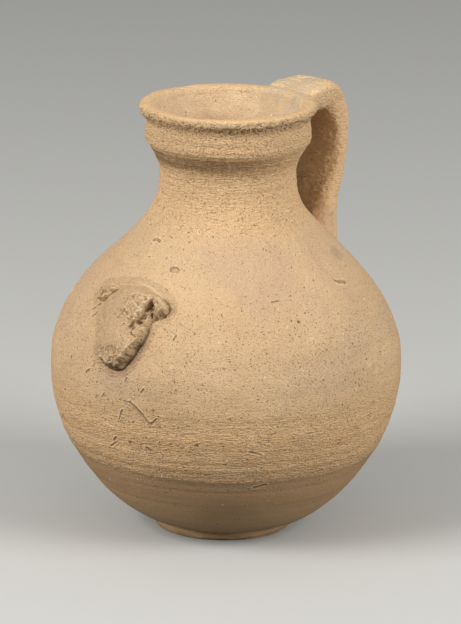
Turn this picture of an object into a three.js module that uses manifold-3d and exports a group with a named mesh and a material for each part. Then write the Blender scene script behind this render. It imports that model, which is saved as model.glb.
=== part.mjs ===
// Collared pouring jug of unglazed buff earthenware with a strap handle at the back and a small
// horned animal's head on the shoulder at the front. Millimetres, +Z up. The origin is the centre of
// the foot's flat underside, the handle is towards +Y and the head towards -Y.
import * as THREE from "three";
import { mergeVertices } from "three/addons/utils/BufferGeometryUtils.js";
import Module from "manifold-3d";

const wasm = await Module();
wasm.setup();
const { Manifold, Mesh } = wasm;

// Vessel. Every height is measured from the table, and every radius is to the outer face.
const FOOT_RADIUS = 34.6;
const FOOT_HEIGHT = 5.5;
const FOOT_CREASE_RADIUS = 33.4;
const BODY_START_RADIUS = 37;
const LUTED_SEAM_HEIGHT = 37.5;
const BELLY_RADIUS = 88.7;
const BELLY_HEIGHT = 86;
const SHOULDER_RADIUS = 61;
const SHOULDER_HEIGHT = 140;
const SHOULDER_SLOPE = 1.14;
const NECK_BASE_HEIGHT = 158;
const NECK_RADIUS = 34.2;
const NECK_FLARE_HEIGHT = 15.5;
const RIM_HEIGHT = 219;
const COLLAR_HEIGHT = 19.5;
const COLLAR_EDGE_RADIUS = 41.2;
const COLLAR_BAND_HEIGHT = 8.5;
const COLLAR_BAND_BULGE = 0.25;
const LIP_RADIUS = 44.4;
const LIP_WIDTH = 7.4;
const LIP_BEAD_RADIUS = 2.6;
const WALL = 6;
// The collar hangs from the rim and the neck's waist lies under the collar.
const COLLAR_EDGE_HEIGHT = RIM_HEIGHT - COLLAR_HEIGHT;
const NECK_WAIST_HEIGHT = COLLAR_EDGE_HEIGHT - NECK_FLARE_HEIGHT;

// Strap handle, in the plane x = 0. Reach is to the outer face.
const HANDLE_WIDTH = 29;
const HANDLE_THICKNESS = 11;
const HANDLE_TOP_SPREAD = 3;
const HANDLE_TOP_THICKENING = 4.2;
const HANDLE_FOOT_SPREAD = 7;
const HANDLE_FOOT_THICKENING = 4.5;
const HANDLE_HOLLOW = 0.8;
const HANDLE_ABOVE_RIM = 4;
const HANDLE_RISE = 6;
const HANDLE_REACH = 75.4;
const HANDLE_BEND_RADIUS = 60.5;
const HANDLE_OUTERMOST_DROP = 20;
const HANDLE_LANDING_RADIUS = 60.8;
const HANDLE_LANDING_HEIGHT = 150;
const HANDLE_TOP_HEIGHT = RIM_HEIGHT + HANDLE_ABOVE_RIM;
const HANDLE_OUTERMOST_HEIGHT = RIM_HEIGHT - HANDLE_OUTERMOST_DROP;

// Applied head: turned a little round the wall from -Y, nose down and leaning to its own left.
const HEAD_TURN = 6.4;
const HEAD_HEIGHT = 118.5;
const HEAD_LEAN = 5;
const HEAD_LENGTH = 41;
const HEAD_BROW_WIDTH = 26;
const HEAD_MUZZLE_WIDTH = 20;
const HEAD_BROW_PROUD = 6.5;
const HEAD_MUZZLE_PROUD = 8.6;
const EYE_RADIUS = 3.2;
const EYE_DROP = 16;
const EYE_SPREAD = 10.2;
const HORN_RISE = 12;
const HORN_TAPER = 0.75;
const RIGHT_HORN_LENGTH = 9;
const RIGHT_HORN_WIDTH = 9.5;
const RIGHT_HORN_PROUD = 5.5;
const LEFT_HORN_LENGTH = 14;
const LEFT_HORN_WIDTH = 10;
const LEFT_HORN_PROUD = 3;
const EAR_LENGTH = 3.6;
const EAR_WIDTH = 6;
const EAR_PROUD = 6.2;
const EAR_DROP = 21.5;

// Gap at each luted joint between a piece and the wall or head that it is pressed on to.
const JOINT_GAP = 0.3;
const ROUND_STEPS = 64;

const clay = (name, colour, roughness) =>
  new THREE.MeshStandardMaterial({ name, color: colour, roughness, metalness: 0 });
const bodyClay = clay("buff_clay", 0xb7936d, 0.92);
const turnedClay = clay("turned_clay", 0xad8963, 0.88);
const rimClay = clay("rim_clay", 0xbb9871, 0.9);
const handleClay = clay("handle_clay", 0xa88c6c, 0.92);
const headClay = clay("head_clay", 0xb08c67, 0.93);

const v2 = (x, y) => new THREE.Vector2(x, y);
const v3 = (x, y, z) => new THREE.Vector3(x, y, z);
const radians = THREE.MathUtils.degToRad;

// Outer wall from the foot's crease to the collar's edge, as four joined cubic curves.
const slope = v2(-SHOULDER_SLOPE, 1).normalize();
const start = v2(BODY_START_RADIUS, FOOT_HEIGHT);
const belly = v2(BELLY_RADIUS, BELLY_HEIGHT);
const shoulder = v2(SHOULDER_RADIUS, SHOULDER_HEIGHT);
const waist = v2(NECK_RADIUS, NECK_WAIST_HEIGHT);
const edge = v2(COLLAR_EDGE_RADIUS - 0.2, COLLAR_EDGE_HEIGHT);
const bowlRise = BELLY_HEIGHT - FOOT_HEIGHT;
const bellyRise = SHOULDER_HEIGHT - BELLY_HEIGHT;
const neckRise = NECK_WAIST_HEIGHT - SHOULDER_HEIGHT;
const flareRise = COLLAR_EDGE_HEIGHT - NECK_WAIST_HEIGHT;
const flareOut = edge.x - waist.x;
const wallCurves = [
  new THREE.CubicBezierCurve(
    start,
    v2(start.x + 0.25 * (belly.x - start.x), start.y + 0.012 * bowlRise),
    v2(belly.x, belly.y - 0.6 * bowlRise),
    belly,
  ),
  new THREE.CubicBezierCurve(
    belly,
    v2(belly.x, belly.y + 0.55 * bellyRise),
    shoulder.clone().addScaledVector(slope, -0.09 * bellyRise),
    shoulder,
  ),
  new THREE.CubicBezierCurve(
    shoulder,
    shoulder.clone().addScaledVector(slope, 0.77 * neckRise),
    v2(waist.x, waist.y - 0.28 * neckRise),
    waist,
  ),
  new THREE.CubicBezierCurve(
    waist,
    v2(waist.x, waist.y + 0.36 * flareRise),
    v2(edge.x - 0.45 * flareOut, edge.y - 0.34 * flareRise),
    edge,
  ),
];

const steps = [14, 8, 7, 4];

function wallPoints(perStep) {
  return wallCurves.flatMap((curve, i) => {
    const points = curve.getPoints(steps[i] * perStep);
    return i === 0 ? points : points.slice(1);
  });
}

// The same wall moved along its normal: positive is outwards.
function offsetWall(perStep, distance) {
  return wallCurves.flatMap((curve, i) => {
    const count = steps[i] * perStep;
    const points = [];
    for (let k = i === 0 ? 0 : 1; k <= count; k += 1) {
      const at = curve.getPoint(k / count);
      const along = curve.getTangent(k / count);
      points.push(v2(at.x + along.y * distance, at.y - along.x * distance));
    }
    return points;
  });
}

const outerFine = wallPoints(12);
const innerFine = offsetWall(12, -WALL);

function radiusAt(points, height) {
  for (let i = 1; i < points.length; i += 1) {
    const low = points[i - 1];
    const high = points[i];
    if (height >= low.y && height <= high.y && high.y > low.y) {
      const share = (height - low.y) / (high.y - low.y);
      return low.x + share * (high.x - low.x);
    }
  }
  return height < points[0].y ? points[0].x : points[points.length - 1].x;
}

// Points of one side of the wall between two heights, with both ends exactly on them.
function stretch(coarse, fine, low, high) {
  const margin = 1;
  const between = coarse.filter((p) => p.y > low + margin && p.y < high - margin);
  return [v2(radiusAt(fine, low), low), ...between, v2(radiusAt(fine, high), high)];
}

const outerCoarse = wallPoints(1);
const innerCoarse = offsetWall(1, -WALL);

function ringSection(low, high) {
  const outside = stretch(outerCoarse, outerFine, low, high);
  const inside = stretch(innerCoarse, innerFine, low, high).reverse();
  return [...outside, ...inside, outside[0].clone()];
}

// A lathe about +Z from a profile of radius and height.
function turned(profile) {
  const geometry = new THREE.LatheGeometry(profile, ROUND_STEPS);
  geometry.rotateX(Math.PI / 2);
  return geometry;
}

function solidFrom(geometry) {
  const plain = geometry.clone();
  plain.deleteAttribute("normal");
  plain.deleteAttribute("uv");
  const merged = mergeVertices(plain, 1e-4);
  return new Manifold(
    new Mesh({
      numProp: 3,
      vertProperties: Float32Array.from(merged.attributes.position.array),
      triVerts: Uint32Array.from(merged.index.array),
    }),
  );
}

function geometryFrom(solid) {
  const mesh = solid.getMesh();
  const geometry = new THREE.BufferGeometry();
  geometry.setAttribute("position", new THREE.BufferAttribute(mesh.vertProperties, mesh.numProp));
  geometry.setIndex(new THREE.BufferAttribute(mesh.triVerts, 1));
  const faceted = geometry.toNonIndexed();
  faceted.computeVertexNormals();
  return faceted;
}

// A closed skin over a row of rings that all have the same number of points.
function loft(rings) {
  const count = rings[0].length;
  const points = rings.flat();
  const faces = [];
  for (let r = 0; r + 1 < rings.length; r += 1) {
    for (let i = 0; i < count; i += 1) {
      const a = r * count + i;
      const b = r * count + ((i + 1) % count);
      faces.push(a, b, b + count, a, b + count, a + count);
    }
  }
  [0, rings.length - 1].forEach((r) => {
    const middle = new THREE.Vector3();
    rings[r].forEach((p) => middle.addScaledVector(p, 1 / count));
    const centre = points.push(middle) - 1;
    for (let i = 0; i < count; i += 1) {
      const a = r * count + i;
      const b = r * count + ((i + 1) % count);
      faces.push(...(r === 0 ? [centre, b, a] : [centre, a, b]));
    }
  });
  const geometry = new THREE.BufferGeometry().setFromPoints(points);
  geometry.setIndex(faces);
  return geometry;
}

const assembly = new THREE.Group();
assembly.name = "collared_jug";

function add(name, geometry, material, parent = assembly) {
  const mesh = new THREE.Mesh(geometry, material);
  mesh.name = name;
  parent.add(mesh);
  return mesh;
}

// Foot: a low splayed disc under the bowl.
add(
  "foot",
  turned([
    v2(0, 0),
    v2(FOOT_RADIUS - 0.8, 0),
    v2(FOOT_RADIUS, 0.12 * FOOT_HEIGHT),
    v2(FOOT_RADIUS - 0.25, 0.45 * FOOT_HEIGHT),
    v2(FOOT_CREASE_RADIUS, 0.85 * FOOT_HEIGHT),
    v2(FOOT_CREASE_RADIUS, FOOT_HEIGHT),
    v2(0, FOOT_HEIGHT),
  ]),
  turnedClay,
);

// Bowl of the body, closed by its own floor, up to the luted seam.
const floorTop = FOOT_HEIGHT + WALL;
const bowlOuter = stretch(outerCoarse, outerFine, FOOT_HEIGHT, LUTED_SEAM_HEIGHT);
const bowlInner = stretch(
  innerCoarse,
  innerFine,
  innerFine[0].y,
  LUTED_SEAM_HEIGHT,
).reverse();
add(
  "body_lower",
  turned([v2(0, FOOT_HEIGHT), ...bowlOuter, ...bowlInner, v2(0, floorTop)]),
  turnedClay,
);

add("body_upper", turned(ringSection(LUTED_SEAM_HEIGHT, NECK_BASE_HEIGHT)), bodyClay);
add("neck", turned(ringSection(NECK_BASE_HEIGHT, COLLAR_EDGE_HEIGHT)), bodyClay);

// Collar: an upright band over the neck's flare, a hollowed step and a rolled lip.
const bandTop = COLLAR_EDGE_HEIGHT + COLLAR_BAND_HEIGHT;
const beadTop = v2(LIP_RADIUS - LIP_BEAD_RADIUS, RIM_HEIGHT - LIP_BEAD_RADIUS);
const beadArc = [-30, 0, 30, 60, 90].map((turn) =>
  v2(
    beadTop.x + LIP_BEAD_RADIUS * Math.cos(radians(turn)),
    beadTop.y + LIP_BEAD_RADIUS * Math.sin(radians(turn)),
  ),
);
const stepOut = beadArc[0].x - COLLAR_EDGE_RADIUS;
const stepUp = beadArc[0].y - bandTop;
const collarOuter = [
  v2(COLLAR_EDGE_RADIUS, COLLAR_EDGE_HEIGHT),
  v2(COLLAR_EDGE_RADIUS + COLLAR_BAND_BULGE, COLLAR_EDGE_HEIGHT + 0.4 * COLLAR_BAND_HEIGHT),
  v2(COLLAR_EDGE_RADIUS, bandTop),
  v2(COLLAR_EDGE_RADIUS + 0.18 * stepOut, bandTop + 0.45 * stepUp),
  v2(COLLAR_EDGE_RADIUS + 0.5 * stepOut, bandTop + 0.8 * stepUp),
];
const lipInner = LIP_RADIUS - LIP_WIDTH;
const boreTop = radiusAt(innerFine, COLLAR_EDGE_HEIGHT);
const collarInner = [
  v2(lipInner + 1.4, RIM_HEIGHT - 0.3),
  v2(lipInner + 0.3, RIM_HEIGHT - 1.3),
  v2(lipInner, RIM_HEIGHT - 3),
  v2(boreTop + 0.6 * (lipInner - boreTop), bandTop),
  v2(boreTop, COLLAR_EDGE_HEIGHT),
];
add(
  "mouth_collar",
  turned([...collarOuter, ...beadArc, ...collarInner, collarOuter[0].clone()]),
  rimClay,
);

// The vessel's filled outline, one joint gap larger, cuts the back of every piece pressed on to it.
const outline = [
  v2(0, -1),
  v2(FOOT_RADIUS, -1),
  ...offsetWall(1, JOINT_GAP),
  ...[...collarOuter, ...beadArc.slice(0, -1)].map((p) => v2(p.x + JOINT_GAP, p.y)),
  v2(beadTop.x, RIM_HEIGHT + JOINT_GAP),
  v2(0, RIM_HEIGHT + JOINT_GAP),
];
const vessel = solidFrom(turned(outline));

// Handle: rounded strap, wider and thicker at both ends, hollowed slightly along its outer face.
const crest = v2(HANDLE_BEND_RADIUS, HANDLE_TOP_HEIGHT - 0.5 * HANDLE_THICKNESS);
const runStart = v2(COLLAR_EDGE_RADIUS - 1, crest.y - HANDLE_RISE);
const outermost = v2(HANDLE_REACH - 0.5 * HANDLE_THICKNESS, HANDLE_OUTERMOST_HEIGHT);
const landing = v2(HANDLE_LANDING_RADIUS, HANDLE_LANDING_HEIGHT);
const sunk = v2(landing.x + 0.5, SHOULDER_HEIGHT - 4);
const run = crest.x - runStart.x;
const bend = outermost.x - crest.x;
const drop = outermost.y - landing.y;
const strapPath = new THREE.CurvePath();
strapPath.add(
  new THREE.CubicBezierCurve(
    runStart,
    v2(runStart.x + 0.4 * run, runStart.y + 0.75 * HANDLE_RISE),
    v2(crest.x - 0.3 * run, crest.y),
    crest,
  ),
);
strapPath.add(
  new THREE.CubicBezierCurve(
    crest,
    v2(crest.x + 0.45 * bend, crest.y),
    v2(outermost.x, outermost.y + 0.6 * (crest.y - outermost.y)),
    outermost,
  ),
);
strapPath.add(
  new THREE.CubicBezierCurve(
    outermost,
    v2(outermost.x, outermost.y - 0.46 * drop),
    v2(landing.x + 0.22 * (outermost.x - landing.x), landing.y + 0.41 * drop),
    landing,
  ),
);
strapPath.add(new THREE.LineCurve(landing, sunk));

const smooth = (from, to, x) => THREE.MathUtils.smoothstep(x, Math.min(from, to), Math.max(from, to));

function strapRing(share) {
  const at = strapPath.getPoint(share);
  const ahead = strapPath.getPoint(Math.min(1, share + 0.07));
  const behind = strapPath.getPoint(Math.max(0, share - 0.07));
  const along = ahead.sub(behind).normalize();
  const top = 1 - smooth(0.06, 0.34, share);
  const arch = (0.5 + 0.5 * smooth(0, 0.2, share)) * (1 - smooth(0.24, 0.46, share));
  const foot = smooth(0.6, 0.95, share);
  const spread = HANDLE_TOP_SPREAD * top + HANDLE_FOOT_SPREAD * smooth(0.8, 1, share);
  const halfWide = 0.5 * (HANDLE_WIDTH + spread);
  const outerDepth = 0.5 * HANDLE_THICKNESS;
  const innerDepth = outerDepth + HANDLE_TOP_THICKENING * arch + HANDLE_FOOT_THICKENING * foot;
  const ring = [];
  const corners = 20;
  for (let i = 0; i < corners; i += 1) {
    const angle = (2 * Math.PI * (i + 0.5)) / corners;
    const c = Math.cos(angle);
    const s = Math.sin(angle);
    const across = Math.sign(c) * Math.abs(c) ** 0.5;
    const up = Math.sign(s) * Math.abs(s) ** 0.5;
    const hollow = up > 0 ? HANDLE_HOLLOW * (1 - across * across) * (1 - top) * (1 - foot) : 0;
    const lift = (up > 0 ? outerDepth : innerDepth) * up - hollow;
    ring.push(v3(-halfWide * across, at.x - along.y * lift, at.y + along.x * lift));
  }
  return ring;
}

const strapRings = [];
const strapSteps = 28;
for (let i = 0; i <= strapSteps; i += 1) {
  strapRings.push(strapRing(i / strapSteps));
}
add("handle", geometryFrom(solidFrom(loft(strapRings)).subtract(vessel)), handleClay);

// A place on the outer wall: out along the wall's normal, nose-wards down it, and to the side.
function wallFrame(turn, height) {
  const radius = radiusAt(outerFine, height);
  const rise = 1;
  const lean = (radiusAt(outerFine, height + rise) - radiusAt(outerFine, height - rise)) / (2 * rise);
  const heading = radians(-90 + turn);
  const level = v3(Math.cos(heading), Math.sin(heading), 0);
  const out = level.clone().addScaledVector(v3(0, 0, 1), -lean).normalize();
  const side = v3(-Math.sin(heading), Math.cos(heading), 0);
  const up = out.clone().cross(side);
  const at = level.clone().multiplyScalar(radius);
  at.z = height;
  return new THREE.Matrix4().makeBasis(side, up, out).setPosition(at);
}

// A rounded mound over the wall: rings across it, from its top end to its lower end, sunk well
// below the wall. A smaller edge value makes steeper sides and a blunter end.
function mound(length, widthAt, proudAt, edge, count, corners) {
  const rings = [];
  for (let i = 0; i <= count; i += 1) {
    const phase = Math.PI * (i / count);
    const share = 0.5 - 0.5 * Math.cos(phase);
    const round = Math.max(0.12, Math.sin(phase) ** edge);
    const halfWide = 0.5 * widthAt(share) * round;
    const proud = proudAt(share) * round;
    const deep = 7;
    const ring = [];
    for (let k = 0; k < corners; k += 1) {
      const angle = (2 * Math.PI * (k + 0.5)) / corners;
      const c = Math.cos(angle);
      const s = Math.sin(angle);
      const across = Math.sign(c) * Math.abs(c) ** edge;
      const up = s > 0 ? proud * s ** edge : -deep * (-s) ** edge;
      ring.push(v3(halfWide * across, (0.5 - share) * length, up));
    }
    rings.push(ring);
  }
  return loft(rings);
}

const blend = (a, b, x) => a + (b - a) * smooth(0, 1, x);
const headWidth = (x) => blend(HEAD_BROW_WIDTH, HEAD_MUZZLE_WIDTH, x / 0.75);
const headProud = (x) => blend(HEAD_BROW_PROUD, HEAD_MUZZLE_PROUD, x / 0.8);
const headFrame = wallFrame(HEAD_TURN, HEAD_HEIGHT);
headFrame.multiply(new THREE.Matrix4().makeRotationZ(radians(HEAD_LEAN)));

function headSolid(grown) {
  const shape = mound(
    HEAD_LENGTH + 2 * grown,
    (x) => headWidth(x) + 2 * grown,
    (x) => headProud(x) + grown,
    0.5,
    14,
    22,
  );
  return solidFrom(shape);
}

const eyes = [-1, 1].map((hand) => {
  const eye = new THREE.SphereGeometry(EYE_RADIUS, 12, 8);
  eye.scale(1, 1.5, 1);
  const height = 0.8 * headProud(EYE_DROP / HEAD_LENGTH);
  eye.translate(hand * EYE_SPREAD, 0.5 * HEAD_LENGTH - EYE_DROP, height);
  return solidFrom(eye);
});
const skull = eyes.reduce((solid, eye) => solid.subtract(eye), headSolid(0));
const headAt = headFrame.toArray();
const headRoom = headSolid(JOINT_GAP).transform(headAt);

function keepLargest(solid) {
  const bodies = solid.decompose();
  return bodies.reduce((best, body) => (body.volume() > best.volume() ? body : best));
}

add("animal_head", geometryFrom(keepLargest(skull.transform(headAt).subtract(vessel))), headClay);

// A piece pressed on beside the head: it lies across the wall from the head's side, at one height.
function besideHead(hand, drop, length, width, proud) {
  const share = drop / HEAD_LENGTH;
  const along = 0.5 * HEAD_LENGTH - drop;
  const lean = radians(HEAD_LEAN);
  const rooted = 5;
  const reach = 0.5 * headWidth(share) + 0.5 * (length - rooted);
  const sideways = hand * reach - along * Math.sin(lean);
  const steep = new THREE.Vector3().setFromMatrixColumn(headFrame, 2).z;
  const height = HEAD_HEIGHT + along * Math.cos(lean) * Math.sqrt(1 - steep * steep);
  const turn = HEAD_TURN + THREE.MathUtils.radToDeg(sideways / radiusAt(outerFine, height));
  const shape = mound(
    length + rooted,
    (x) => blend(width, HORN_TAPER * width, x),
    (x) => blend(proud, 0.85 * proud, x),
    0.5,
    10,
    14,
  );
  shape.rotateZ((hand * Math.PI) / 2);
  shape.applyMatrix4(wallFrame(turn, height));
  return keepLargest(solidFrom(shape).subtract(headRoom).subtract(vessel));
}

const hornDrop = 0.5 * HEAD_LENGTH - HORN_RISE;
const rightHorn = besideHead(
  1,
  hornDrop,
  RIGHT_HORN_LENGTH,
  RIGHT_HORN_WIDTH,
  RIGHT_HORN_PROUD,
);
const leftHorn = besideHead(-1, hornDrop, LEFT_HORN_LENGTH, LEFT_HORN_WIDTH, LEFT_HORN_PROUD);
const rightEar = besideHead(1, EAR_DROP, EAR_LENGTH, EAR_WIDTH, EAR_PROUD);
add("right_horn", geometryFrom(rightHorn), headClay);
add("left_horn", geometryFrom(leftHorn), headClay);
add("right_ear", geometryFrom(rightEar), headClay);

export default assembly;
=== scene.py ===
"""Visual model of the collared pouring jug: unglazed buff earthenware in fine detail over the CAD
frame, with a pale floor, soft studio light and the photograph's camera. Lengths are in millimetres
until a mesh is made, and heights are above the table."""

import math
from functools import partial, reduce

import bpy
import numpy as np
from mathutils import Matrix, Vector


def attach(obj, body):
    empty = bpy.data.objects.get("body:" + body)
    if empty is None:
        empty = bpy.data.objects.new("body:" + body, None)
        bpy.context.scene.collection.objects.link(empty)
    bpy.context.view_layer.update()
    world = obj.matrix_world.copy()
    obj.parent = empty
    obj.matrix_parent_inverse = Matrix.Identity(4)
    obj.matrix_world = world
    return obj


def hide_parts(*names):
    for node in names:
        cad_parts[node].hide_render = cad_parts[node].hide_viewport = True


MM = 0.001
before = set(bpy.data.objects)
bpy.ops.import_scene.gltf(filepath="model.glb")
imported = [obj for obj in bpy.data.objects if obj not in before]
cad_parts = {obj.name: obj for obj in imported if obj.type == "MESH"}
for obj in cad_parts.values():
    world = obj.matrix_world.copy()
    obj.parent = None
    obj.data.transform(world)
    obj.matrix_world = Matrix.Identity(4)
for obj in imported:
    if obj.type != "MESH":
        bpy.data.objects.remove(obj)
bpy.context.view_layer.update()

# Vessel, as in the CAD model. Radii are to the outer face.
FOOT_RADIUS = 34.6
FOOT_HEIGHT = 5.5
BODY_START_RADIUS = 37.0
SEAM_HEIGHT = 37.5
BELLY_RADIUS = 88.7
BELLY_HEIGHT = 86.0
SHOULDER_RADIUS = 61.0
SHOULDER_HEIGHT = 140.0
SHOULDER_SLOPE = 1.14
NECK_BASE_HEIGHT = 158.0
NECK_RADIUS = 34.2
WAIST_HEIGHT = 184.0
COLLAR_RADIUS = 41.2
COLLAR_HEIGHT = 199.5
BAND_TOP = 208.0
LIP_RADIUS = 44.4
LIP_WIDTH = 7.4
RIM_HEIGHT = 219.0
BEAD_RADIUS = 2.6
WALL = 6.0
HANDLE_WIDTH = 29.0
HANDLE_THICKNESS = 11.0
HANDLE_TOP = 223.0
HANDLE_REACH = 75.4
START_DROP = 6.4

# Height of the step between the rough belly and the trimmed bowl
TRIM_HEIGHT = 44.0
# Where the head's patch and the handle's lower end sit on the wall
HEAD_AZIMUTH = -84.0
HEAD_HEIGHT = 116.0
LANDING_AZIMUTH = 90.0
LANDING_HEIGHT = 150.0

# Line of the handle: radius at its top and at its landing, and height where it reaches out most
CREST_RADIUS = 60.5
LANDING_RADIUS = 60.8
OUTERMOST_HEIGHT = 199.0
# Its section goes from an ellipse at 1 towards a box at 0.
STRAP_ROUNDNESS = 0.62
# How far the patch of wall round the head goes past the clay, how deep its back lies, and how far
# the wall sinks under it
PATCH_MARGIN = 4.0
PATCH_BACK = -3.0
PATCH_SINK = 1.2

# Fineness of the meshes
COLUMNS = 576
STRAP_COLUMNS = 120
STRAP_STEP = 0.6
PATCH_STEP = 0.3
CURVE_POINTS = 400


# Curves and noise
def smooth(low, high, value):
    t = np.clip((np.asarray(value, float) - low) / (high - low), 0.0, 1.0)
    return t * t * (3.0 - 2.0 * t)


def bell(gap, width):
    """1 at no gap, falling away smoothly over the width."""
    return np.exp(-((gap / width) ** 2))


def bump(x, y, cx, cy, rx, ry):
    """1 at a point, falling away smoothly over two radii."""
    return np.exp(-(((x - cx) / rx) ** 2 + ((y - cy) / ry) ** 2))


def mix(a, b, share):
    return a + (b - a) * share


def most(*values):
    return reduce(np.maximum, values)


def soft_max(a, b, radius):
    h = np.clip(0.5 + 0.5 * (a - b) / radius, 0, 1)
    return mix(b, a, h) + radius * h * (1 - h) * 0.5


def cubic(p0, p1, p2, p3):
    t = np.linspace(0.0, 1.0, CURVE_POINTS)[:, None]
    p0, p1, p2, p3 = (np.array(p, float) for p in (p0, p1, p2, p3))
    return (1 - t) ** 3 * p0 + 3 * t * (1 - t) ** 2 * p1 + 3 * t * t * (1 - t) * p2 + t**3 * p3


def joined(parts):
    return np.vstack([parts[0]] + [part[1:] for part in parts[1:]])


def arc_lengths(points):
    steps = np.hypot(*np.diff(points, axis=0).T)
    return np.concatenate([[0.0], np.cumsum(steps)])


def rounded(points, count=40):
    """A smooth line through the points, with that many steps from each one to the next."""
    p = np.array(points, float)
    p = np.vstack([2 * p[0] - p[1], p, 2 * p[-1] - p[-2]])
    t = np.linspace(0.0, 1.0, count, endpoint=False)[:, None]
    out = []
    for a, b, c, d in zip(p[:-3], p[1:-2], p[2:-1], p[3:]):
        curve = 2 * b + (c - a) * t + (2 * a - 5 * b + 4 * c - d) * t**2
        out.append(0.5 * (curve + (3 * b - a - 3 * c + d) * t**3))
    out.append(p[-2][None])
    return np.vstack(out)


def resample(points, spacing):
    s = arc_lengths(points)
    count = max(2, int(round(s[-1] / spacing)) + 1)
    at = np.linspace(0.0, s[-1], count)
    return np.stack([np.interp(at, s, points[:, k]) for k in range(points.shape[1])], 1)


def smooth_rows(values, width):
    """A weighted running mean that keeps the ends."""
    padded = np.concatenate([np.full(width, values[0]), values, np.full(width, values[-1])])
    kernel = np.hanning(2 * width + 1)
    return np.convolve(padded, kernel / kernel.sum(), "valid")


def lattice(u, v, seed, wrap=None):
    """Smooth noise from -1 to 1 with cells of one unit; wrap closes it after that many cells of u."""
    table = np.random.default_rng(seed).uniform(-1.0, 1.0, (256, 256))
    u, v = np.broadcast_arrays(np.asarray(u, float), np.asarray(v, float))
    i, j = np.floor(u).astype(int), np.floor(v).astype(int)
    fu, fv = u - i, v - j
    fu, fv = fu * fu * (3 - 2 * fu), fv * fv * (3 - 2 * fv)

    def at(a, b):
        return table[(a % wrap if wrap else a) % 256, b % 256]

    low = mix(at(i, j), at(i + 1, j), fu)
    high = mix(at(i, j + 1), at(i + 1, j + 1), fu)
    return mix(low, high, fv)


def ring_noise(azimuth, cells, v, seed):
    """Noise with that many cells in a full turn."""
    return lattice(azimuth / 360.0 * cells, v, seed, cells)


def normals_of(points):
    along = np.gradient(points, axis=0)
    along /= np.linalg.norm(along, axis=1)[:, None]
    return np.stack([along[:, 1], -along[:, 0]], 1)


def between(points, low, high):
    """The part of a rising line between two heights, with both ends exactly on them."""
    keep = (points[:, 1] > low + 1e-6) & (points[:, 1] < high - 1e-6)
    ends = [[np.interp(z, points[:, 1], points[:, 0]), z] for z in (low, high)]
    return np.vstack([ends[0], points[keep], ends[1]])


# The vessel's outer and inner profile
slope = np.array([-SHOULDER_SLOPE, 1.0])
slope /= np.linalg.norm(slope)
start = np.array([BODY_START_RADIUS, FOOT_HEIGHT])
belly = np.array([BELLY_RADIUS, BELLY_HEIGHT])
shoulder = np.array([SHOULDER_RADIUS, SHOULDER_HEIGHT])
waist = np.array([NECK_RADIUS, WAIST_HEIGHT])
edge = np.array([COLLAR_RADIUS - 0.2, COLLAR_HEIGHT])
bowl_out, bowl_rise = belly - start
belly_rise = SHOULDER_HEIGHT - BELLY_HEIGHT
neck_rise = WAIST_HEIGHT - SHOULDER_HEIGHT
flare_out, flare_rise = edge - waist
wall = joined([
    cubic(start, start + (0.25 * bowl_out, 0.012 * bowl_rise), belly - (0.0, 0.6 * bowl_rise), belly),
    cubic(belly, belly + (0.0, 0.55 * belly_rise), shoulder - slope * 0.09 * belly_rise, shoulder),
    cubic(shoulder, shoulder + slope * 0.77 * neck_rise, waist - (0.0, 0.28 * neck_rise), waist),
    cubic(waist, waist + (0.0, 0.36 * flare_rise), edge - (0.45 * flare_out, 0.34 * flare_rise), edge),
])
wall_out = normals_of(wall)
inner_wall = wall - wall_out * WALL
wall_s = arc_lengths(wall)
HEAD_S = np.interp(HEAD_HEIGHT, wall[:, 1], wall_s)
LANDING_S = np.interp(LANDING_HEIGHT, wall[:, 1], wall_s)

bead = np.array([LIP_RADIUS - BEAD_RADIUS, RIM_HEIGHT - BEAD_RADIUS])
bead_turns = np.radians([-25, 5, 35, 65, 90])
lip_inner = LIP_RADIUS - LIP_WIDTH
bore = np.interp(COLLAR_HEIGHT, inner_wall[:, 1], inner_wall[:, 0])
collar_line = rounded([
    [COLLAR_RADIUS - 0.2, COLLAR_HEIGHT],
    [COLLAR_RADIUS + 0.25, COLLAR_HEIGHT + 0.5],
    [COLLAR_RADIUS + 0.5, COLLAR_HEIGHT + 1.9],
    [COLLAR_RADIUS + 0.55, COLLAR_HEIGHT + 4.4],
    [COLLAR_RADIUS + 0.3, BAND_TOP - 1.2],
    [COLLAR_RADIUS - 0.05, BAND_TOP + 1.2],
    [COLLAR_RADIUS + 0.2, BAND_TOP + 3.4],
    [COLLAR_RADIUS + 1.1, BAND_TOP + 5.2],
    *(bead + BEAD_RADIUS * np.array([math.cos(turn), math.sin(turn)]) for turn in bead_turns),
    [lip_inner + 2.6, RIM_HEIGHT - 0.1],
    [lip_inner + 1.0, RIM_HEIGHT - 0.7],
    [lip_inner + 0.15, RIM_HEIGHT - 2.2],
    [lip_inner - 0.1, RIM_HEIGHT - 4.5],
    [bore + 0.55 * (lip_inner - bore), BAND_TOP],
    [bore, COLLAR_HEIGHT],
])
foot_line = rounded([
    [32.6, 0.0],
    [34.0, 0.25],
    [FOOT_RADIUS, 1.3],
    [FOOT_RADIUS - 0.15, 2.6],
    [FOOT_RADIUS - 0.7, 4.0],
    [FOOT_RADIUS - 0.9, 4.9],
    [FOOT_RADIUS - 0.2, FOOT_HEIGHT - 0.05],
])
skirt = rounded([foot_line[-1], [35.6, FOOT_HEIGHT - 0.02], start])

angles = np.radians(np.arange(COLUMNS) * 360.0 / COLUMNS)
azimuths = (np.degrees(angles) + 180.0) % 360.0 - 180.0


# Marks on the wall
# Turned lines round the lower body: height, depth and width
TURNED_LINES = ((60.0, 0.3, 0.9), (38.0, 0.18, 0.8), (50.3, 0.22, 0.8), (27.0, 0.12, 0.9))
# Single lumps of clay left on the wall: azimuth, height, width and rise
LUMPS = ((-133.5, 121.0, 2.0, 1.1), (-63.0, 104.0, 2.2, 0.5), (-20.0, 70.0, 3.0, 0.5))


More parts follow.
